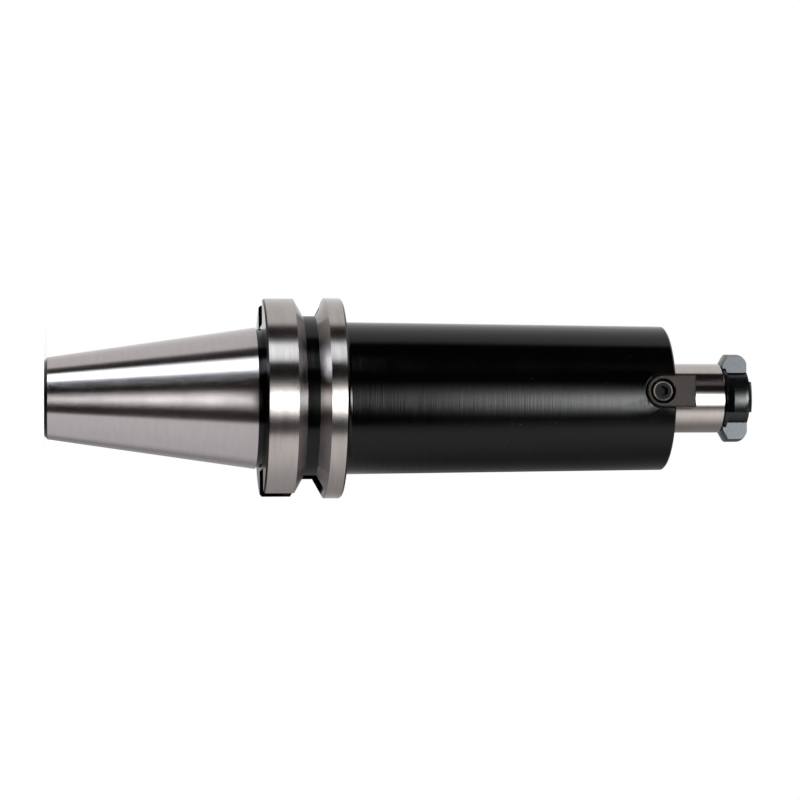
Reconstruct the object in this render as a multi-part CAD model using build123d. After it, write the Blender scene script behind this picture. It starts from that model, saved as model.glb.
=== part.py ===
from build123d import *
import math
import os

os.makedirs("parts", exist_ok=True)

# A face mill arbor with a size 40 steep taper, in millimetres.
# The axis is +Z, from the small end of the taper up to the nose, and z = 0 is the gauge plane.
# The drive keys are on the -Y and +Y sides, and the flange keyways on the +X and -X sides.

# Taper shank
gauge_diameter = 44.45
taper_rate = 7 / 24
taper_length = 65.4
small_end_chamfer = 1.0
neck_length = 2.0
neck_diameter = 43.6

# Bore for the pull stud, in the small end
stud_pilot_diameter = 17.0
stud_pilot_depth = 9.0
stud_thread_diameter = 16.0
stud_thread_end = 34.0
stud_mouth_chamfer = 0.6
drill_point_angle = 118

# Flange with its gripper groove
flange_diameter = 63.0
flange_thickness = 25.0
flange_rear_chamfer = 0.6
flange_front_chamfer = 0.6
groove_position = 16.6
groove_width = 10.0
groove_angle = 60
groove_depth = 5.3

# Flange keyways
keyway_width = 16.1
keyway_floor_radius = 22.5
keyway_front_margin = 0.4
keyway_corner_radius = 1.0

# Extension body, slightly tapered
projection = 130.0
body_root_diameter = 48.0
body_face_diameter = 45.8
body_root_fillet = 1.5
body_face_chamfer = 0.5

# Pilot that centres the cutter
pilot_diameter = 22.0
pilot_length = 19.0
pilot_chamfer = 0.8

# Drive keys, seated in pockets in the front of the body
key_width = 10.0
key_height = 8.0
key_top_radius = 22.0
key_projection = 6.4
key_length = 15.4
key_edge_chamfer = 0.4
key_clearance = 0.05
pocket_end_gap = 0.6
pocket_edge_chamfer = 0.45

# Socket cap screws that hold the keys
key_screw_diameter = 4.0
key_screw_head_diameter = 7.0
key_screw_head_height = 4.0
key_screw_recess = 0.4
key_screw_reach = 6.0
key_screw_head_chamfer = 0.65
key_screw_clearance = 0.05
head_bore_diameter = 8.0
shank_hole_diameter = 4.4
tapped_hole_extra = 0.8
hex_socket_width = 3.0
hex_socket_depth = 2.2

# Retaining screw that clamps the cutter on the pilot
screw_thread_diameter = 10.0
screw_thread_length = 28.0
screw_tip_chamfer = 1.0
screw_bore_extra = 4.0
screw_radial_clearance = 0.05
screw_bore_chamfer = 0.6
screw_neck_length = 1.6
screw_neck_diameter = 8.4
screw_head_diameter = 28.0
screw_head_height = 7.8
screw_back_chamfer_length = 1.7
screw_back_chamfer_depth = 2.8
screw_front_fillet = 2.6
screw_hub_diameter = 18.6
screw_web_diameter = 21.0
screw_web_thickness = 1.0
lug_width = 9.6
lug_count = 4
screw_turn = 4.0

# Levels and sizes that follow from the values above
small_end_z = -taper_length
small_end_radius = (gauge_diameter - taper_rate * taper_length) / 2
flange_rear_z = neck_length
flange_front_z = flange_rear_z + flange_thickness
flange_radius = flange_diameter / 2
groove_root_radius = flange_radius - groove_depth
groove_slope = math.tan(math.radians(groove_angle / 2))
groove_root_width = groove_width - 2 * groove_depth * groove_slope
groove_rear_z = groove_position - groove_width / 2
groove_front_z = groove_position + groove_width / 2
pilot_end_z = projection + pilot_length
key_floor_radius = key_top_radius - key_height
key_start_z = projection + key_projection - key_length
key_round_centre_z = key_start_z + key_width / 2
key_screw_seat_radius = key_top_radius - key_screw_recess - key_screw_head_height
key_sides = {"near": -90, "far": 90}
screw_bore_radius = screw_thread_diameter / 2
screw_shank_radius = screw_bore_radius - screw_radial_clearance
cut_margin = 5.0
match_tolerance = 0.01


def turned(points):
    """A solid of revolution about Z from (radius, z) points, closed along the axis."""
    outline = Polyline([(radius, 0, z) for radius, z in points], close=True)
    return revolve(make_face(outline), Axis.Z, 360)


def blind_hole(radius, mouth_z, floor_z, point_angle):
    """A drilled hole along Z, with a conical floor, as a solid to cut away."""
    outward = math.copysign(1, mouth_z - floor_z)
    point_height = radius / math.tan(math.radians(point_angle / 2))
    return turned([
        (0, mouth_z),
        (radius, mouth_z),
        (radius, floor_z),
        (0, floor_z - outward * point_height),
    ])


def arbor_blank():
    """The turned outside of the arbor: taper, neck, flange, body and pilot."""
    chamfer_radius = small_end_radius - small_end_chamfer
    after_chamfer_radius = small_end_radius + taper_rate * small_end_chamfer / 2
    return turned([
        (0, small_end_z),
        (chamfer_radius, small_end_z),
        (after_chamfer_radius, small_end_z + small_end_chamfer),
        (gauge_diameter / 2, 0),
        (neck_diameter / 2, 0),
        (neck_diameter / 2, flange_rear_z),
        (flange_radius - flange_rear_chamfer, flange_rear_z),
        (flange_radius, flange_rear_z + flange_rear_chamfer),
        (flange_radius, groove_rear_z),
        (groove_root_radius, groove_position - groove_root_width / 2),
        (groove_root_radius, groove_position + groove_root_width / 2),
        (flange_radius, groove_front_z),
        (flange_radius, flange_front_z - flange_front_chamfer),
        (flange_radius - flange_front_chamfer, flange_front_z),
        (body_root_diameter / 2, flange_front_z),
        (body_face_diameter / 2, projection - body_face_chamfer),
        (body_face_diameter / 2 - body_face_chamfer, projection),
        (pilot_diameter / 2, projection),
        (pilot_diameter / 2, pilot_end_z - pilot_chamfer),
        (pilot_diameter / 2 - pilot_chamfer, pilot_end_z),
        (0, pilot_end_z),
    ])


def with_root_fillet(solid):
    """Rounds the corner where the body leaves the flange's front face."""
    root = solid.edges().filter_by(GeomType.CIRCLE).filter_by(
        lambda edge: abs(edge.center().Z - flange_front_z) < match_tolerance
        and abs(edge.radius - body_root_diameter / 2) < match_tolerance
    )
    return fillet(root, body_root_fillet)


def pull_stud_bore():
    """The counterbore, tapped hole and mouth chamfer in the small end."""
    pilot_radius = stud_pilot_diameter / 2
    counterbore = turned([
        (0, small_end_z),
        (pilot_radius + stud_mouth_chamfer, small_end_z),
        (pilot_radius, small_end_z + stud_mouth_chamfer),
        (pilot_radius, small_end_z + stud_pilot_depth),
        (0, small_end_z + stud_pilot_depth),
    ])
    thread = blind_hole(
        stud_thread_diameter / 2, small_end_z, small_end_z + stud_thread_end, drill_point_angle
    )
    return counterbore + thread


def retaining_screw_bore():
    """The tapped hole in the nose, with its mouth chamfer."""
    floor_z = pilot_end_z - screw_thread_length - screw_bore_extra
    hole = blind_hole(screw_bore_radius, pilot_end_z, floor_z, drill_point_angle)
    mouth = turned([
        (0, pilot_end_z),
        (screw_bore_radius + screw_bore_chamfer, pilot_end_z),
        (screw_bore_radius, pilot_end_z - screw_bore_chamfer),
        (0, pilot_end_z - screw_bore_chamfer),
    ])
    return hole + mouth


def flange_keyway(angle):
    """A slot through the flange's rear rim and groove, for a drive dog of the spindle."""
    length = groove_front_z - keyway_front_margin - flange_rear_z + cut_margin
    depth = flange_radius - keyway_floor_radius + cut_margin
    slot = Pos(keyway_floor_radius, 0, flange_rear_z - cut_margin) * Box(
        depth, keyway_width, length, align=(Align.MIN, Align.CENTER, Align.MIN)
    )
    corners = slot.edges().filter_by(Axis.X).sort_by(Axis.Z)[-2:]
    return Rot(Z=angle) * fillet(corners, keyway_corner_radius)


def key_outline(half_width, end_z, end_gap=0):
    """The key's plan: a round end about the screw, or short of it by a gap, and a square end at end_z."""
    centre_z = key_round_centre_z - end_gap
    return Plane.XZ * (
        Pos(0, centre_z) * Circle(half_width)
        + Pos(0, centre_z) * Rectangle(2 * half_width, end_z - centre_z, align=(Align.CENTER, Align.MIN))
    )


def facing_minus_y(outline, inner_radius, outer_radius):
    """Extrudes an outline of the XZ plane between two distances from the axis, towards -Y."""
    return Pos(0, -inner_radius, 0) * extrude(outline, outer_radius - inner_radius)


def key_pocket():
    """The pocket of one drive key, open at the body's side and front face."""
    half_width = key_width / 2 + key_clearance
    body_radius = body_root_diameter / 2
    plan = key_outline(half_width, projection + cut_margin, pocket_end_gap)
    pocket = facing_minus_y(plan, key_floor_radius, body_radius + cut_margin)
    edge_half_width = half_width + pocket_edge_chamfer
    edge_level = math.sqrt((body_face_diameter / 2) ** 2 - half_width**2) - pocket_edge_chamfer
    edge_plan = key_outline(edge_half_width, projection + cut_margin, pocket_end_gap)
    edge_relief = facing_minus_y(edge_plan, edge_level, body_radius + cut_margin)
    return pocket + edge_relief


def key_screw_hole():
    """The tapped hole under one drive key, from the pocket's floor towards the axis."""
    bottom_radius = key_floor_radius - key_screw_reach - tapped_hole_extra
    outline = Plane.XZ * (Pos(0, key_round_centre_z) * Circle(key_screw_diameter / 2))
    return facing_minus_y(outline, bottom_radius, key_floor_radius)


def arbor_body():
    """The arbor itself, one piece of steel."""
    body = with_root_fillet(arbor_blank())
    body = body - pull_stud_bore() - retaining_screw_bore()
    for angle in (0, 180):
        body = body - flange_keyway(angle)
    for angle in key_sides.values():
        turn = Rot(Z=angle + 90)
        body = body - turn * key_pocket() - turn * key_screw_hole()
    return body


def drive_key():
    """One drive key on the -Y side, with a counterbore for its cap screw."""
    key = facing_minus_y(
        key_outline(key_width / 2, projection + key_projection), key_floor_radius, key_top_radius
    )
    outer_edges = key.faces().sort_by(Axis.Y)[0].edges()
    key = chamfer(outer_edges, key_edge_chamfer)
    centre = Plane.XZ * Pos(0, key_round_centre_z)
    shank_hole = facing_minus_y(
        centre * Circle(shank_hole_diameter / 2), key_floor_radius, key_top_radius
    )
    head_bore = facing_minus_y(
        centre * Circle(head_bore_diameter / 2), key_screw_seat_radius, key_top_radius
    )
    return key - shank_hole - head_bore


def key_screw():
    """One socket cap screw on the -Y side, seated in its key."""
    centre = Plane.XZ * Pos(0, key_round_centre_z)
    head_top_radius = key_screw_seat_radius + key_screw_head_height
    head = facing_minus_y(
        centre * Circle(key_screw_head_diameter / 2), key_screw_seat_radius, head_top_radius
    )
    rim = head.faces().sort_by(Axis.Y)[0].edges()
    head = chamfer(rim, key_screw_head_chamfer)
    socket = facing_minus_y(
        centre * RegularPolygon(hex_socket_width / 2, 6, major_radius=False),
        head_top_radius - hex_socket_depth,
        head_top_radius,
    )
    shank = facing_minus_y(
        centre * Circle(key_screw_diameter / 2 - key_screw_clearance),
        key_floor_radius - key_screw_reach,
        key_screw_seat_radius,
    )
    return head - socket + shank


def retaining_screw():
    """The cutter's clamping screw: a cross of four lugs for the wrench, on a web and a threaded shank."""
    head_radius = screw_head_diameter / 2
    seat_z = pilot_end_z
    top_z = seat_z + screw_head_height
    head = turned([
        (0, seat_z),
        (head_radius - screw_back_chamfer_depth, seat_z),
        (head_radius, seat_z + screw_back_chamfer_length),
        (head_radius, top_z),
        (0, top_z),
    ])
    front_rim = head.edges().filter_by(GeomType.CIRCLE).sort_by(Axis.Z)[-1]
    head = fillet(front_rim, screw_front_fillet)
    cross = Circle(screw_hub_diameter / 2)
    for index in range(lug_count // 2):
        cross = cross + Rot(Z=index * 360 / lug_count) * Rectangle(screw_head_diameter, lug_width)
    notches = extrude(Circle(head_radius + cut_margin) - cross, screw_head_height + cut_margin)
    web = extrude(Circle(screw_web_diameter / 2), screw_web_thickness)
    head = head - Pos(0, 0, seat_z) * notches + Pos(0, 0, seat_z) * web
    tip_z = seat_z - screw_thread_length
    shank = turned([
        (0, seat_z),
        (screw_neck_diameter / 2, seat_z),
        (screw_neck_diameter / 2, seat_z - screw_neck_length),
        (screw_shank_radius, seat_z - screw_neck_length - (screw_shank_radius - screw_neck_diameter / 2)),
        (screw_shank_radius, tip_z + screw_tip_chamfer),
        (screw_shank_radius - screw_tip_chamfer, tip_z),
        (0, tip_z),
    ])
    return Rot(Z=screw_turn) * (head + shank)


def save(shape, name):
    """Writes one piece to its own file, named after it."""
    shape.label = name
    export_step(shape, f"parts/{name}.step")


save(arbor_body(), "arbor_body")
save(retaining_screw(), "retaining_screw")
for side, angle in key_sides.items():
    turn = Rot(Z=angle + 90)
    save(turn * drive_key(), f"drive_key_{side}")
    save(turn * key_screw(), f"key_screw_{side}")
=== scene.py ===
import math

import bmesh
import bpy
from mathutils import Matrix, Vector


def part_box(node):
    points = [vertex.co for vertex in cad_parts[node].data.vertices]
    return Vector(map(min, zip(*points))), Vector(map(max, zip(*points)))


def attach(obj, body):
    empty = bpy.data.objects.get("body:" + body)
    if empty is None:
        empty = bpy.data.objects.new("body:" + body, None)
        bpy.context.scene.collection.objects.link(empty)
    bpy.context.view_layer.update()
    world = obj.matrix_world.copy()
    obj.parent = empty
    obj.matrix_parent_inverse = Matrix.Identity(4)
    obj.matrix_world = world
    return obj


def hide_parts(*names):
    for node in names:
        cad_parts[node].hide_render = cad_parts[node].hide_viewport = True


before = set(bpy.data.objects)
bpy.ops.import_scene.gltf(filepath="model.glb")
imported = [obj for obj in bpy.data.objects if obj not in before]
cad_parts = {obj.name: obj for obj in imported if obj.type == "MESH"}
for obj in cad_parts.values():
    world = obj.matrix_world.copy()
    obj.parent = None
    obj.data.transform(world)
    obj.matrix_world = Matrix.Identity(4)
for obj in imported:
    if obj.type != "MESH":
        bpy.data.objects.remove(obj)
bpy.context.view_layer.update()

MM = 0.001

# Levels and radii along the axis, in metres, as in the CAD model
SMALL_END_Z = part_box("arbor_body")[0].z
GAUGE_RADIUS = 22.225 * MM
TAPER_RATE = 7 / 24
FLANGE_REAR_Z = 2.0 * MM
FLANGE_FRONT_Z = 27.0 * MM
BEVEL_DEPTH = 2.0 * MM
GROOVE_ROOT_RADIUS = 26.2 * MM
KEYWAY_HALF_WIDTH = 8.05 * MM
KEYWAY_FLOOR_X = 22.5 * MM
BODY_FACE_Z = 130.0 * MM
NOSE_HOLE_REACH = 6.0 * MM

# The drive keys' pockets and cap screws
POCKET_BACK_Z = 119.0 * MM
POCKET_REACH = 6.5 * MM
KEY_FLOOR_RADIUS = 12.0 * MM
KEY_SCREW_Z = 126.0 * MM
KEY_SCREW_RIM = 2.85 * MM
# Width of the cap screws' bright rim, partly wear and partly a painted highlight
RIM_WEAR_AND_HIGHLIGHT_WIDTH = 0.3 * MM

# The retaining screw and its M10 thread
SCREW_SHANK_RADIUS = 4.95 * MM
SCREW_ROOT_RADIUS = 4.05 * MM
SCREW_TIP_RADIUS = 3.95 * MM
SCREW_NECK_RADIUS = 4.2 * MM
SCREW_TIP_Z = 121.0 * MM
SCREW_NECK_Z = 147.4 * MM
SCREW_PITCH = 1.5 * MM
LUG_END_REACH = 13.8 * MM

# The pull stud's M16 thread
STUD_WALL_RADIUS = 8.02 * MM
STUD_CREST_RADIUS = 6.95 * MM
STUD_BACK_RADIUS = 8.4 * MM
STUD_THREAD_TOP_Z = -31.4 * MM
STUD_THREAD_BOTTOM_Z = -56.4 * MM
STUD_PITCH = 2.0 * MM
STUD_SEGMENTS = 48

# Slack for finding faces, edges and corners of the CAD meshes
SURFACE_SLACK = 0.05 * MM
LEVEL_SLACK = 0.01 * MM
RING_SLACK = 0.1 * MM
WELD_DISTANCE = 0.001 * MM
TURN_SLACK = 0.01
SHARP_ANGLE = math.radians(25)

# Shares of a face's normal along the axis or away from it, for telling the zones apart
ACROSS_AXIS = 0.95
FLANK_LEAN = 0.8
BEVEL_LEAN = 0.3
SIDE_LEAN = 0.3
TAPER_OUTWARD = 0.9
POCKET_OUTWARD = 0.98
RIM_OUTWARD = 0.3
KEYWAY_WALL_SLACK = 0.02
KEYWAY_FLOOR_SLACK = 0.001

# Camera, from the fit to the photograph
CAMERA_DISTANCE = 0.85
CAMERA_TARGET_Z = 46.0 * MM
CAMERA_YAW = 0.12
CAMERA_TURN = math.radians(6)
CAMERA_SCALE = 3.166
IMAGE_SIZE = 800
SENSOR_WIDTH = 36.0
TARGET_ROW = 398.25
NEAR_CLIP = 0.01
FAR_CLIP = 50.0

# Floor and lamp
FLOOR_RADIUS = 12.0
FLOOR_SEGMENTS = 96
FLOOR_LIFT = 0.3
LAMP_SIZE = 0.5
LAMP_POWER = 4.0
LAMP_COLOR = (1.0, 0.98, 0.94)
LAMP_PLACE = (0.25, -0.9, 0.9)
LAMP_AIM_Z = 40.0 * MM

# The studio that the metal mirrors, by direction in degrees. Azimuth turns round the arbor from the
# camera, upwards in the picture. Elevation leans along the axis, towards the nose. A pair is where
# one part begins to pass into the next and where it has.
RIMS_TO_BODY = (5.8, 7.2)
BODY_TO_NOSE = (11.9, 12.7)
TAPER_TO_RIMS = (-8, 8)
GROUND_TO_CEILING = (-5, 5)
UNDER_NOSE_AZIMUTH = (-105, -45)
UNDER_NOSE_FAR = (0.34, 0.33, 0.33)
UNDER_NOSE_NEAR = (1.45, 1.40, 1.38)
UNDER_BODY_AZIMUTH = (-118, -58)
UNDER_BODY_FAR = (0.23, 0.22, 0.22)
UNDER_BODY_NEAR = (1.08, 1.04, 1.03)
UNDER_RIMS_FAR = (0.62, 0.60, 0.59)
UNDER_RIMS_NEAR = (1.12, 1.08, 1.07)
UNDER_TAPER_AZIMUTH = (-140, -112)
UNDER_TAPER_FAR = (0.36, 0.35, 0.36)
UNDER_TAPER_NEAR = (0.95, 0.95, 0.99)
CEILING_WHITE = (0.97, 0.97, 0.97)

# The dark flag before the arbor
FLAG_BLACK = (0.015, 0.011, 0.009)
FLAG_TOP_START = 88
FLAG_TOP_END = 96
FLAG_TOP_SOFTER = 8
FLAG_TOP_SHARPENS = (7.5, 12.5)
FLAG_FOOT_START = -46
FLAG_FOOT_START_BODY = -56
FLAG_FOOT_END = -38
FLAG_FOOT_END_NOSE = -24
FLAG_FOOT_SOFTENS = (7.2, 10.2)

# The blue-white panel above, brightest far to the rear
PANEL_LEAN = 0.4
PANEL_FOOT = (41.0, 47.0)
PANEL_FOOT_SHIFT = (-4.3, 2.2)
PANEL_FOOT_SHIFTS = (-8, 1)
PANEL_TOP = (61, 70)
PANEL_FRONT = (2.0, 4.2)
PANEL_TINT_AZIMUTH = (44, 56)
PANEL_BLUE = (2.9, 3.4, 4.0)
PANEL_WHITE = (3.6, 3.8, 4.0)
PANEL_REAR = (-11, -5)
PANEL_REAR_WHITE = (5.1, 5.4, 5.8)
PANEL_FAR_REAR = (-60, -48)
PANEL_FAR_REAR_WHITE = (22.0, 23.0, 26.0)

# The key light, and how far its middle lies below the camera's azimuth
KEY_FALL_NOSE = (2.8, 5.6)
KEY_FALLS_AT_NOSE = (11.0, 13.5)
KEY_RISE_FAR = 5.8
KEY_RISES_FAR = (16, 30)
KEY_ROOT_START = 6.6
KEY_ROOT_END = 9.4
KEY_ROOT_SOFT = 0.8
KEY_ROOT_RISE = 3.6
KEY_ROOT_NARROWER = 4.0
KEY_HALF_WIDTHS = (20, 33)
KEY_WIDENS = (5.0, 8.0)
KEY_NARROWER = 11.7
KEY_NARROWS = (11.3, 15.8)
KEY_LOW = 0.04
KEY_LOW_STARTS = (3.4, 4.6)
KEY_GROWS = (7.2, 18.5)
KEY_GROWTH_POWER = 1.2
KEY_FAR_GAIN = 1.15
KEY_GAINS = (16, 24)
KEY_ENDS = (45, 60)
KEY_EDGE_POWER = 1.35
KEY_TINT_ELEVATION = (5, 10)
KEY_WARM = (29.5, 28.6, 26.8)
KEY_COOL = (28.4, 28.8, 29.2)

# The panel's second reflection on the pilot
GLIMPSE_START = 45
GLIMPSE_END = 57
GLIMPSE_SOFT = 4
GLIMPSE_REAR = (12.3, 12.7)
GLIMPSE_FRONT = (16, 18)
GLIMPSE_GREY = (0.19, 0.185, 0.20)

# The dark floor and ceiling that the bevels see, and the plain light of what doesn't mirror
POLES = (64, 76)
POLE_BLACK = (0.08, 0.07, 0.075)
PLAIN_LIGHT = (0.8, 0.8, 0.8, 1.0)
WHITE = (1.0, 1.0, 1.0, 1.0)


class Nodes:
    """Short calls for building one shader tree."""

    def __init__(self, tree):
        self.tree = tree

    def feed(self, socket, value):
        """Links a socket to another one, or sets it."""
        if isinstance(value, bpy.types.NodeSocket):
            self.tree.links.new(value, socket)
        else:
            socket.default_value = value

    def add(self, kind, inputs=None, **settings):
        made = self.tree.nodes.new(kind)
        for name, value in settings.items():
            setattr(made, name, value)
        for name, value in (inputs or {}).items():
            self.feed(made.inputs[name], value)
        return made

    def math(self, operation, first, second=0.0):
        made = self.add("ShaderNodeMath", operation=operation)
        self.feed(made.inputs[0], first)
        self.feed(made.inputs[1], second)
        return made.outputs[0]

    def times(self, first, second):
        return self.math("MULTIPLY", first, second)

    def plus(self, first, second):
        return self.math("ADD", first, second)

    def minus(self, first, second):
        return self.math("SUBTRACT", first, second)

    def ramp(self, value, low, high, low_to=0.0, high_to=1.0):
        """A smooth step from low_to at low to high_to at high."""
        made = self.add(
            "ShaderNodeMapRange",
            {"Value": value, "From Min": low, "From Max": high, "To Min": low_to, "To Max": high_to},
            interpolation_type="SMOOTHSTEP",
        )
        return made.outputs["Result"]

    def fall(self, value, low, high):
        """A smooth step from 1 at low down to 0 at high."""
        return self.ramp(value, low, high, 1.0, 0.0)

    def band(self, value, start, end, soft):
        """1 between start and end, and 0 beyond them."""
        rise = self.ramp(value, start - soft, start + soft)
        fall = self.fall(value, end - soft, end + soft)
        return self.times(rise, fall)

    def mix(self, factor, first, second):
        """The first colour at factor 0 and the second at factor 1."""
        made = self.add("ShaderNodeMix", data_type="RGBA")
        self.feed(made.inputs[0], factor)
        for index, value in ((6, first), (7, second)):
            self.feed(made.inputs[index], (*value, 1.0) if isinstance(value, tuple) else value)
        return made.outputs[2]

    def noise(self, vector, scale, detail=2.0, roughness=0.5):
        made = self.add(
            "ShaderNodeTexNoise",
            {"Vector": vector, "Scale": scale, "Detail": detail, "Roughness": roughness},
        )
        return made.outputs["Fac"]

    def reach(self, first, second):
        """How far a point is from the origin of two coordinates."""
        return self.math("SQRT", self.plus(self.times(first, first), self.times(second, second)))

    def turned(self, place, around, along):
        """Coordinates that run slowly round the Z axis and fast along it, as turning marks do."""
        x, y, z = self.add("ShaderNodeSeparateXYZ", {0: place}).outputs
        radius = self.reach(x, y)
        safe = self.math("MAXIMUM", radius, 1e-5)
        made = self.add(
            "ShaderNodeCombineXYZ",
            {
                "X": self.times(self.math("DIVIDE", x, safe), around),
                "Y": self.times(self.math("DIVIDE", y, safe), around),
                "Z": self.times(self.plus(z, radius), along),
            },
        )
        return made.outputs[0]


def scaled(color, factor):
    return tuple(share * factor for share in color)


def new_material(name):
    material = bpy.data.materials.new(name)
    material.use_nodes = True
    material.node_tree.nodes.clear()
    return material, Nodes(material.node_tree)


def finish_material(nodes, shader):
    nodes.add("ShaderNodeOutputMaterial", {"Surface": shader.outputs[0]})


# Materials

def ground_steel(name, color, roughness, anisotropy, bump, spread, streaks):
    """Steel ground round the axis: fine marks round it, and highlights drawn out along it."""
    material, n = new_material(name)
    place = n.add("ShaderNodeTexCoord").outputs["Object"]
    marks = n.noise(n.turned(place, around=1.2, along=5000.0), scale=1.0)
    grooves = n.noise(n.turned(place, around=2.0, along=1800.0), scale=1.0, detail=1.0)
    bands = n.noise(n.turned(place, around=2.5, along=700.0), scale=1.0, detail=3.0)
    stains = n.noise(place, scale=55.0, detail=4.0, roughness=0.6)
    specks = n.noise(place, scale=900.0, roughness=0.7)
    tone = n.ramp(n.plus(n.times(bands, 0.6), n.times(stains, 0.4)), low=0.38, high=0.62)
    tint = n.mix(tone, scaled(color, 1 - spread), scaled(color, 1 + spread))
    speckled = n.ramp(specks, low=0.66, high=0.76, high_to=0.25)
    tint = n.mix(speckled, tint, scaled(color, 0.6))
    smoother = roughness * (1 - streaks)
    rougher = roughness * (1 + streaks)
    rough = n.plus(
        n.ramp(marks, low=0.3, high=0.7, low_to=smoother, high_to=rougher),
        n.ramp(stains, low=0.35, high=0.7, low_to=-0.01, high_to=0.01),
    )
    relief = n.add("ShaderNodeBump", {"Strength": bump, "Distance": 0.02 * MM, "Height": grooves})
    shader = n.add(
        "ShaderNodeBsdfPrincipled",
        {
            "Base Color": tint,
            "Metallic": 1.0,
            "Roughness": rough,
            "Anisotropic": anisotropy,
            "Anisotropic Rotation": 0.25,
            "Normal": relief.outputs[0],
            "Tangent": n.add("ShaderNodeTangent", direction_type="RADIAL", axis="Z").outputs[0],
        },
    )
    finish_material(n, shader)
    return material


def black_oxide(name, specular, roughness, bump):
    """Turned steel, blackened and oiled, with rubbed specks in the black."""
    black = (0.0005, 0.0004, 0.0004)
    worn_through = (0.16, 0.13, 0.11)
    material, n = new_material(name)
    place = n.add("ShaderNodeTexCoord").outputs["Object"]
    marks = n.noise(n.turned(place, around=1.0, along=3200.0), scale=1.0)
    bands = n.noise(n.turned(place, around=1.6, along=700.0), scale=1.0, detail=3.0)
    cloud = n.noise(place, scale=70.0, detail=4.0, roughness=0.6)
    grain = n.noise(place, scale=1500.0, roughness=0.6)
    rubbed = n.times(n.ramp(grain, low=0.69, high=0.77), n.ramp(cloud, low=0.50, high=0.64))
    tint = n.mix(n.ramp(cloud, low=0.35, high=0.65), scaled(black, 0.7), scaled(black, 1.3))
    tint = n.mix(n.times(rubbed, 0.5), tint, worn_through)
    rough = n.plus(
        n.ramp(bands, low=0.3, high=0.7, low_to=roughness * 0.88, high_to=roughness * 1.12),
        n.ramp(cloud, low=0.3, high=0.7, low_to=-0.02, high_to=0.02),
    )
    height = n.plus(marks, n.times(bands, 0.6))
    relief = n.add("ShaderNodeBump", {"Strength": bump, "Distance": 0.02 * MM, "Height": height})
    shader = n.add(
        "ShaderNodeBsdfPrincipled",
        {
            "Base Color": tint,
            "Metallic": 0.0,
            "Roughness": rough,
            "Specular IOR Level": specular,
            "Normal": relief.outputs[0],
        },
    )
    finish_material(n, shader)
    return material


def dark_steel(name, color, specular, roughness, grain_size, bump, mirror_tint=(1.0, 1.0, 1.0), rim=None):
    """Hardened steel with grain in every direction, and on the cap screws a bright rim, partly rubbed wear
    and partly a painted highlight.
    """
    rim_wear_and_highlight = (0.34, 0.31, 0.29)
    material, n = new_material(name)
    place = n.add("ShaderNodeTexCoord").outputs["Object"]
    cloud = n.noise(place, scale=180.0, detail=4.0, roughness=0.6)
    grain = n.noise(place, scale=grain_size, detail=3.0, roughness=0.6)
    tone = n.ramp(n.plus(n.times(cloud, 0.5), n.times(grain, 0.5)), low=0.35, high=0.65)
    tint = n.mix(tone, scaled(color, 0.75), scaled(color, 1.25))
    # A bright ring painted round the cap screws' rim: partly rubbed wear, partly a painted highlight of the
    # edge
    if rim:
        x, y, z = n.add("ShaderNodeSeparateXYZ", {0: place}).outputs
        off_rim = n.math("ABSOLUTE", n.minus(n.reach(x, n.minus(z, KEY_SCREW_Z)), rim))
        patchy = n.ramp(cloud, low=0.35, high=0.6, low_to=0.25, high_to=1.0)
        tint = n.mix(n.times(n.fall(off_rim, 0.0, RIM_WEAR_AND_HIGHLIGHT_WIDTH), patchy), tint, rim_wear_and_highlight)
    rough = n.ramp(grain, low=0.3, high=0.7, low_to=roughness * 0.85, high_to=roughness * 1.15)
    relief = n.add("ShaderNodeBump", {"Strength": bump, "Distance": 0.03 * MM, "Height": grain})
    shader = n.add(
        "ShaderNodeBsdfPrincipled",
        {
            "Base Color": tint,
            "Metallic": 0.0,
            "Roughness": rough,
            "Specular IOR Level": specular,
            "Specular Tint": (*mirror_tint, 1.0),
            "Normal": relief.outputs[0],
        },
    )
    finish_material(n, shader)
    return material


TAPER_STEEL = ground_steel(
    "taper_steel",
    color=(0.42, 0.39, 0.385),
    roughness=0.22,
    anisotropy=1.0,
    bump=0.05,
    spread=0.02,
    streaks=0.06,
)
FLANGE_STEEL = ground_steel(
    "flange_steel",
    color=(0.38, 0.355, 0.337),
    roughness=0.22,
    anisotropy=0.80,
    bump=0.10,
    spread=0.05,
    streaks=0.08,
)
# The groove's flanks: rougher than the flange steel, and darker, a painted shade of the groove
FLANK_SHADED_STEEL = ground_steel(
    "flank_steel_painted_shade",
    color=(0.27, 0.25, 0.24),
    roughness=0.30,
    anisotropy=1.0,
    bump=0.10,
    spread=0.05,
    streaks=0.08,
)
PILOT_STEEL = ground_steel(
    "pilot_steel",
    color=(0.43, 0.40, 0.38),
    roughness=0.13,
    anisotropy=0.6,
    bump=0.03,
    spread=0.03,
    streaks=0.08,
)
BODY_BLACK = black_oxide("body_black", specular=0.20, roughness=0.13, bump=0.60)
# The pockets' walls and floor reflect far less than the body: a painted shade of the recess
POCKET_SHADE_BLACK = black_oxide("pocket_black_painted_shade", specular=0.02, roughness=0.30, bump=0.10)
KEY_STEEL = dark_steel(
    "key_dark_steel",
    color=(0.028, 0.023, 0.021),
    specular=0.12,
    roughness=0.35,
    grain_size=2600.0,
    bump=0.15,
)
CAP_BLACK = dark_steel(
    "cap_screw_black",
    color=(0.004, 0.004, 0.004),
    specular=0.08,
    roughness=0.22,
    grain_size=3000.0,
    bump=0.10,
    rim=KEY_SCREW_RIM,
)
HEAD_STEEL = dark_steel(
    "retaining_screw_steel",
    color=(0.002, 0.0022, 0.0025),
    specular=0.40,
    roughness=0.24,
    grain_size=2200.0,
    bump=0.30,
    mirror_tint=(0.93, 0.99, 1.05),
)
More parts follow.
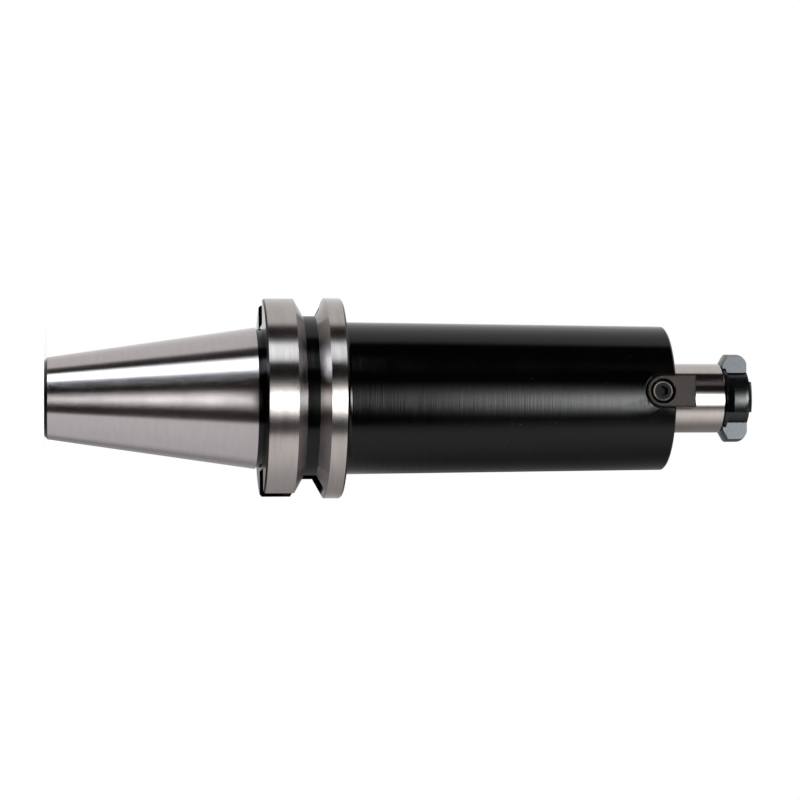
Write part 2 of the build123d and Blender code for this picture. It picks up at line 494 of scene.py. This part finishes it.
# The lugs' outer ends reflect less than the rest of the head: a duller copy of the same steel, painted shade
LUG_END_SHADED_STEEL = dark_steel(
    "lug_end_steel_painted_shade",
    color=(0.002, 0.0022, 0.0022),
    specular=0.22,
    roughness=0.22,
    grain_size=2200.0,
    bump=0.30,
)
THREAD_STEEL = dark_steel(
    "thread_steel",
    color=(0.035, 0.035, 0.035),
    specular=0.50,
    roughness=0.30,
    grain_size=3000.0,
    bump=0.15,
)

# The finish of each zone of the arbor
ZONES = {
    "taper": TAPER_STEEL,
    "rim": FLANGE_STEEL,
    "pilot": PILOT_STEEL,
    "black": BODY_BLACK,
    "flank": FLANK_SHADED_STEEL,
    "pocket": POCKET_SHADE_BLACK,
}


def in_pocket(centre, radius, outward):
    """Whether a face is a wall or the floor of a drive key's pocket."""
    over_floor = radius > KEY_FLOOR_RADIUS and outward < POCKET_OUTWARD
    return centre.z > POCKET_BACK_Z and abs(centre.x) < POCKET_REACH and over_floor


def flange_zone(centre, normal, radius, outward):
    """The zone of a flange's face that doesn't lie across the axis."""
    wall_normal = abs(abs(normal.y) - 1) < KEYWAY_WALL_SLACK
    keyway_wall = wall_normal and abs(abs(centre.y) - KEYWAY_HALF_WIDTH) < SURFACE_SLACK
    floor_normal = abs(abs(normal.x) - 1) < KEYWAY_FLOOR_SLACK
    keyway_floor = floor_normal and abs(abs(centre.x) - KEYWAY_FLOOR_X) < SURFACE_SLACK
    over_root = radius > GROOVE_ROOT_RADIUS + SURFACE_SLACK and outward > RIM_OUTWARD
    at_end = centre.z < FLANGE_REAR_Z + BEVEL_DEPTH or centre.z > FLANGE_FRONT_Z - BEVEL_DEPTH
    bevel = at_end and abs(normal.z) > BEVEL_LEAN
    if keyway_wall or keyway_floor or bevel or not over_root:
        return "black"
    return "flank" if abs(normal.z) > FLANK_LEAN else "rim"


def zone_of(centre, normal):
    """The zone that a face of the arbor belongs to."""
    radius = math.hypot(centre.x, centre.y)
    outward = (normal.x * centre.x + normal.y * centre.y) / max(radius, 1e-6)
    if in_pocket(centre, radius, outward):
        return "pocket"
    if centre.z < 0:
        cone = GAUGE_RADIUS + TAPER_RATE / 2 * centre.z
        on_cone = abs(radius - cone) < 2 * SURFACE_SLACK and outward > TAPER_OUTWARD
        return "taper" if on_cone else "black"
    if centre.z < FLANGE_FRONT_Z and abs(normal.z) < ACROSS_AXIS:
        return flange_zone(centre, normal, radius, outward)
    if centre.z > BODY_FACE_Z + SURFACE_SLACK and radius > NOSE_HOLE_REACH:
        return "pilot"
    return "black"


def dress_arbor():
    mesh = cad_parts["arbor_body"].data
    mesh.materials.clear()
    for material in ZONES.values():
        mesh.materials.append(material)
    names = list(ZONES)
    for polygon in mesh.polygons:
        polygon.material_index = names.index(zone_of(polygon.center, polygon.normal))


def dress(node, material):
    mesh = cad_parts[node].data
    mesh.materials.clear()
    mesh.materials.append(material)


dress_arbor()
for side in ("near", "far"):
    dress(f"drive_key_{side}", KEY_STEEL)
    dress(f"key_screw_{side}", CAP_BLACK)


# Threads

def thread_surface(sheet, low, high, pitch, profile, limited, segments):
    """Adds a screw thread about Z between two levels.

    profile gives the radius at shares of the pitch, and limited(radius, z) brings it to
    one radius at both ends, so that each end closes to a ring.
    """
    turns = int((high - low) / pitch) + 3
    columns = [
        (turn * pitch + share * pitch, radius)
        for turn in range(-2, turns)
        for share, radius in profile
    ]
    lead = len(profile)
    rows = []
    for index in range(segments):
        angle = 2 * math.pi * index / segments
        row = []
        for offset, radius in columns:
            z = min(max(low + offset + pitch * index / segments, low), high)
            reach = limited(radius, z)
            row.append(sheet.verts.new((reach * math.cos(angle), reach * math.sin(angle), z)))
        rows.append(row)
    for index, here in enumerate(rows):
        ahead = rows[(index + 1) % segments]
        if index == segments - 1:
            ahead = ahead[lead:]
        for column in range(len(columns) - lead - 1):
            sheet.faces.new((here[column], ahead[column], ahead[column + 1], here[column + 1]))
    verts = list({vert for row in rows for vert in row})
    bmesh.ops.remove_doubles(sheet, verts=verts, dist=WELD_DISTANCE)
    loose = [vert for vert in sheet.verts if not vert.link_faces]
    bmesh.ops.delete(sheet, geom=loose, context="VERTS")


def ring_at(sheet, level, radius):
    """The corners of the open edge that runs round Z at one level and radius, in turning order."""
    open_edges = [edge for edge in sheet.edges if len(edge.link_faces) == 1]
    corners = {vert for edge in open_edges for vert in edge.verts}
    ring = [
        vert
        for vert in corners
        if abs(vert.co.z - level) < LEVEL_SLACK
        and abs(math.hypot(vert.co.x, vert.co.y) - radius) < RING_SLACK
    ]
    return sorted(ring, key=lambda vert: (math.atan2(vert.co.y, vert.co.x) + TURN_SLACK) % (2 * math.pi))


def widened(sheet, ring, factor):
    """A copy of a ring, farther from Z by a factor."""
    return [sheet.verts.new((vert.co.x * factor, vert.co.y * factor, vert.co.z)) for vert in ring]


def join_rings(sheet, first, second):
    for index, corner in enumerate(first):
        ahead = (index + 1) % len(first)
        sheet.faces.new((corner, first[ahead], second[ahead], second[index]))


def piece_from(sheet, name, material, body):
    """Turns a sheet into a piece that rides a body, smooth but for its sharp edges."""
    bmesh.ops.recalc_face_normals(sheet, faces=sheet.faces)
    for face in sheet.faces:
        face.smooth = True
    for edge in sheet.edges:
        edge.smooth = edge.calc_face_angle(0) < SHARP_ANGLE
    mesh = bpy.data.meshes.new(name)
    sheet.to_mesh(mesh)
    sheet.free()
    mesh.materials.append(material)
    piece = bpy.data.objects.new(name, mesh)
    bpy.context.scene.collection.objects.link(piece)
    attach(piece, body)
    return piece


def make_retaining_screw():
    """The node's own head and neck, with a real M10 thread for the plain shank."""
    sheet = bmesh.new()
    sheet.from_mesh(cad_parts["retaining_screw"].data)
    shank = [
        face
        for face in sheet.faces
        if max(vert.co.z for vert in face.verts) < SCREW_NECK_Z + LEVEL_SLACK
    ]
    bmesh.ops.delete(sheet, geom=shank, context="FACES")
    bmesh.ops.remove_doubles(sheet, verts=sheet.verts, dist=WELD_DISTANCE)
    neck = ring_at(sheet, SCREW_NECK_Z, SCREW_NECK_RADIUS)

    def limited(radius, z):
        at_tip = SCREW_TIP_RADIUS + (z - SCREW_TIP_Z)
        at_neck = SCREW_ROOT_RADIUS + (SCREW_NECK_Z - z)
        return min(radius, at_tip, at_neck)

    root = ((0.0, SCREW_ROOT_RADIUS), (0.25, SCREW_ROOT_RADIUS))
    crest = ((0.5625, SCREW_SHANK_RADIUS), (0.6875, SCREW_SHANK_RADIUS))
    thread_surface(sheet, SCREW_TIP_Z, SCREW_NECK_Z, SCREW_PITCH, root + crest, limited, len(neck))
    join_rings(sheet, neck, ring_at(sheet, SCREW_NECK_Z, SCREW_ROOT_RADIUS))
    sheet.faces.new(ring_at(sheet, SCREW_TIP_Z, SCREW_TIP_RADIUS))
    body = "retaining_screw"
    piece = piece_from(sheet, "retaining_screw_threaded", HEAD_STEEL, body)
    # The lugs' outer ends take the duller copy of the head's steel, painted shade
    piece.data.materials.append(LUG_END_SHADED_STEEL)
    for polygon in piece.data.polygons:
        far_out = math.hypot(polygon.center.x, polygon.center.y) > LUG_END_REACH
        if far_out and abs(polygon.normal.z) < SIDE_LEAN:
            polygon.material_index = 1
    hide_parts("retaining_screw")


def make_stud_thread():
    """The M16 thread in the small end, standing in from the tapped hole's wall."""
    sheet = bmesh.new()

    def limited(radius, z):
        from_end = min(z - STUD_THREAD_BOTTOM_Z, STUD_THREAD_TOP_Z - z)
        return max(radius, STUD_WALL_RADIUS - from_end)

    wall = ((0.0, STUD_WALL_RADIUS), (0.125, STUD_WALL_RADIUS))
    crest = ((0.4375, STUD_CREST_RADIUS), (0.6875, STUD_CREST_RADIUS))
    bottom = STUD_THREAD_BOTTOM_Z
    top = STUD_THREAD_TOP_Z
    thread_surface(sheet, bottom, top, STUD_PITCH, wall + crest, limited, STUD_SEGMENTS)
    low = ring_at(sheet, bottom, STUD_WALL_RADIUS)
    high = ring_at(sheet, top, STUD_WALL_RADIUS)
    back_low = widened(sheet, low, STUD_BACK_RADIUS / STUD_WALL_RADIUS)
    back_high = widened(sheet, high, STUD_BACK_RADIUS / STUD_WALL_RADIUS)
    join_rings(sheet, low, back_low)
    join_rings(sheet, back_low, back_high)
    join_rings(sheet, back_high, high)
    piece_from(sheet, "stud_thread", THREAD_STEEL, "arbor")


make_retaining_screw()
make_stud_thread()


# Floor, light and camera

def floor_material():
    material, n = new_material("floor_white")
    shader = n.add(
        "ShaderNodeBsdfPrincipled",
        {"Base Color": (0.93, 0.93, 0.93, 1.0), "Roughness": 0.9, "Specular IOR Level": 0.0},
    )
    lift = n.times(n.add("ShaderNodeLightPath").outputs["Is Camera Ray"], FLOOR_LIFT)
    glow = n.add("ShaderNodeEmission", {"Color": WHITE, "Strength": lift})
    finish_material(n, n.add("ShaderNodeAddShader", {0: shader.outputs[0], 1: glow.outputs[0]}))
    return material


def make_floor():
    mesh = bpy.data.meshes.new("floor")
    sheet = bmesh.new()
    bmesh.ops.create_circle(sheet, cap_ends=True, radius=FLOOR_RADIUS, segments=FLOOR_SEGMENTS)
    sheet.to_mesh(mesh)
    sheet.free()
    floor = bpy.data.objects.new("floor", mesh)
    floor.location.z = SMALL_END_Z
    floor.visible_glossy = False
    bpy.context.scene.collection.objects.link(floor)
    mesh.materials.append(floor_material())


def directions(n):
    """The azimuth and elevation, in degrees, that a ray leaves for."""
    x, y, z = n.add("ShaderNodeSeparateXYZ", {0: n.add("ShaderNodeTexCoord").outputs["Generated"]}).outputs
    toward = (math.sin(CAMERA_TURN), -math.cos(CAMERA_TURN))
    upward = (-math.cos(CAMERA_TURN), -math.sin(CAMERA_TURN))
    ahead = n.plus(n.times(x, toward[0]), n.times(y, toward[1]))
    above = n.plus(n.times(x, upward[0]), n.times(y, upward[1]))
    azimuth = n.times(n.math("ARCTAN2", above, ahead), math.degrees(1))
    elevation = n.times(n.math("ARCSINE", z), math.degrees(1))
    return azimuth, elevation


def white_surround(n, azimuth, elevation):
    """The white ceiling, and the white ground that darkens away from the camera."""
    under_nose = n.mix(n.ramp(azimuth, *UNDER_NOSE_AZIMUTH), UNDER_NOSE_FAR, UNDER_NOSE_NEAR)
    under_body = n.mix(n.ramp(azimuth, *UNDER_BODY_AZIMUTH), UNDER_BODY_FAR, UNDER_BODY_NEAR)
    under_rims = n.mix(n.ramp(azimuth, *UNDER_BODY_AZIMUTH), UNDER_RIMS_FAR, UNDER_RIMS_NEAR)
    under_taper = n.mix(n.ramp(azimuth, *UNDER_TAPER_AZIMUTH), UNDER_TAPER_FAR, UNDER_TAPER_NEAR)
    ground = n.mix(n.ramp(elevation, *RIMS_TO_BODY), under_rims, under_body)
    ground = n.mix(n.ramp(elevation, *BODY_TO_NOSE), ground, under_nose)
    ground = n.mix(n.ramp(elevation, *TAPER_TO_RIMS), under_taper, ground)
    return n.mix(n.ramp(azimuth, *GROUND_TO_CEILING), ground, CEILING_WHITE)


def dark_flag(n, azimuth, elevation):
    """How much of the dark flag before the arbor is seen; its edges are softer to the black body."""
    softer = n.ramp(elevation, *RIMS_TO_BODY, 0, FLAG_TOP_SOFTER)
    softer = n.times(softer, n.fall(elevation, *FLAG_TOP_SHARPENS))
    top = n.fall(azimuth, FLAG_TOP_START, n.plus(softer, FLAG_TOP_END))
    foot_start = n.ramp(elevation, *RIMS_TO_BODY, FLAG_FOOT_START, FLAG_FOOT_START_BODY)
    foot_end = n.ramp(elevation, *FLAG_FOOT_SOFTENS, FLAG_FOOT_END, FLAG_FOOT_END_NOSE)
    return n.times(n.ramp(azimuth, foot_start, foot_end), top)


def blue_panel(n, azimuth, elevation):
    """How much of the blue-white panel above is seen, by what faces up and back, and its colour."""
    leaning = n.plus(azimuth, n.times(elevation, PANEL_LEAN))
    shifted = n.plus(azimuth, n.ramp(elevation, *PANEL_FOOT_SHIFTS, *PANEL_FOOT_SHIFT))
    across = n.times(n.ramp(shifted, *PANEL_FOOT), n.fall(leaning, *PANEL_TOP))
    share = n.times(across, n.fall(elevation, *PANEL_FRONT))
    color = n.mix(n.ramp(azimuth, *PANEL_TINT_AZIMUTH), PANEL_BLUE, PANEL_WHITE)
    color = n.mix(n.ramp(elevation, *PANEL_REAR), color, PANEL_REAR_WHITE)
    color = n.mix(n.fall(elevation, *PANEL_FAR_REAR), color, PANEL_FAR_REAR_WHITE)
    return share, color


def key_light(n, azimuth, elevation):
    """How much of the key light is seen, a soft box before the nose that grows brighter upwards."""
    root = n.band(elevation, KEY_ROOT_START, KEY_ROOT_END, KEY_ROOT_SOFT)
    fall = n.minus(
        n.ramp(elevation, *KEY_FALLS_AT_NOSE, *KEY_FALL_NOSE),
        n.ramp(elevation, *KEY_RISES_FAR, 0.0, KEY_RISE_FAR),
    )
    fall = n.minus(fall, n.times(root, KEY_ROOT_RISE))
    offset = n.math("ABSOLUTE", n.plus(azimuth, fall))
    half_width = n.minus(
        n.ramp(elevation, *KEY_WIDENS, *KEY_HALF_WIDTHS),
        n.ramp(elevation, *KEY_NARROWS, 0.0, KEY_NARROWER),
    )
    half_width = n.minus(half_width, n.times(root, KEY_ROOT_NARROWER))
    across = n.math("POWER", n.fall(n.math("DIVIDE", offset, half_width), 0.0, 1.0), KEY_EDGE_POWER)
    growing = n.math("POWER", n.ramp(elevation, *KEY_GROWS), KEY_GROWTH_POWER)
    growing = n.times(growing, n.ramp(elevation, *KEY_GAINS, 1.0, KEY_FAR_GAIN))
    along = n.plus(growing, n.times(n.ramp(elevation, *KEY_LOW_STARTS), KEY_LOW))
    along = n.times(along, n.fall(elevation, *KEY_ENDS))
    return n.times(across, along), n.mix(n.ramp(elevation, *KEY_TINT_ELEVATION), KEY_WARM, KEY_COOL)


def panel_glimpse(n, azimuth, elevation):
    """How much of the panel's faint second reflection on the pilot is seen."""
    across = n.band(azimuth, GLIMPSE_START, GLIMPSE_END, GLIMPSE_SOFT)
    return n.times(n.times(across, n.ramp(elevation, *GLIMPSE_REAR)), n.fall(elevation, *GLIMPSE_FRONT))


def studio_color(n):
    azimuth, elevation = directions(n)
    color = white_surround(n, azimuth, elevation)
    color = n.mix(dark_flag(n, azimuth, elevation), color, FLAG_BLACK)
    panel, panel_color = blue_panel(n, azimuth, elevation)
    color = n.mix(panel, color, panel_color)
    key, key_color = key_light(n, azimuth, elevation)
    color = n.mix(key, color, key_color)
    color = n.mix(panel_glimpse(n, azimuth, elevation), color, GLIMPSE_GREY)
    return n.mix(n.ramp(n.math("ABSOLUTE", elevation), *POLES), color, POLE_BLACK)


def studio_world():
    """White to the camera, plain light to dull surfaces, and the studio to what mirrors it."""
    world = bpy.data.worlds.new("studio")
    bpy.context.scene.world = world
    world.use_nodes = True
    world.node_tree.nodes.clear()
    n = Nodes(world.node_tree)
    path = n.add("ShaderNodeLightPath").outputs
    seen = n.add("ShaderNodeBackground", {"Color": WHITE, "Strength": 1.0})
    mirrored = n.add("ShaderNodeBackground", {"Color": studio_color(n), "Strength": 1.0})
    plain = n.add("ShaderNodeBackground", {"Color": PLAIN_LIGHT, "Strength": 1.0})
    reflected = n.math("MAXIMUM", path["Is Glossy Ray"], path["Is Transmission Ray"])
    lit = n.add("ShaderNodeMixShader", {0: reflected, 1: plain.outputs[0], 2: mirrored.outputs[0]})
    last = n.add("ShaderNodeMixShader", {0: path["Is Camera Ray"], 1: lit.outputs[0], 2: seen.outputs[0]})
    n.add("ShaderNodeOutputWorld", {"Surface": last.outputs[0]})


def make_key_lamp():
    """A soft lamp near the camera, above the nose, for the dull parts' shading and the floor's shadow."""
    light = bpy.data.lights.new("key_lamp", "AREA")
    light.shape = "RECTANGLE"
    light.size = LAMP_SIZE
    light.size_y = LAMP_SIZE
    light.energy = LAMP_POWER
    light.color = LAMP_COLOR
    lamp = bpy.data.objects.new("key_lamp", light)
    lamp.location = LAMP_PLACE
    aim = Vector((0, 0, LAMP_AIM_Z)) - lamp.location
    lamp.rotation_euler = aim.to_track_quat("-Z", "Y").to_euler()
    lamp.visible_glossy = False
    lamp.visible_camera = False
    bpy.context.scene.collection.objects.link(lamp)


def make_camera():
    """The photograph's camera, rolled a quarter turn, so that the standing arbor lies across the picture."""
    toward = Vector((math.sin(CAMERA_TURN), -math.cos(CAMERA_TURN), 0))
    axis = Vector((0, 0, 1))
    up = Vector((-math.cos(CAMERA_TURN), -math.sin(CAMERA_TURN), 0))
    back = toward * math.cos(CAMERA_YAW) - axis * math.sin(CAMERA_YAW)
    right = up.cross(back)
    focal = CAMERA_SCALE * CAMERA_DISTANCE / MM
    camera = bpy.data.cameras.new("camera")
    camera.sensor_width = SENSOR_WIDTH
    camera.lens = focal / IMAGE_SIZE * SENSOR_WIDTH
    camera.shift_y = (TARGET_ROW - IMAGE_SIZE / 2) / IMAGE_SIZE
    camera.clip_start = NEAR_CLIP
    camera.clip_end = FAR_CLIP
    holder = bpy.data.objects.new("camera", camera)
    turn = Matrix((right, up, back)).transposed().to_4x4()
    place = Vector((0, 0, CAMERA_TARGET_Z)) + back * CAMERA_DISTANCE
    holder.matrix_world = Matrix.Translation(place) @ turn
    bpy.context.scene.collection.objects.link(holder)
    bpy.context.scene.camera = holder


make_floor()
studio_world()
make_key_lamp()
make_camera()
bpy.context.scene.view_settings.view_transform = "Standard"
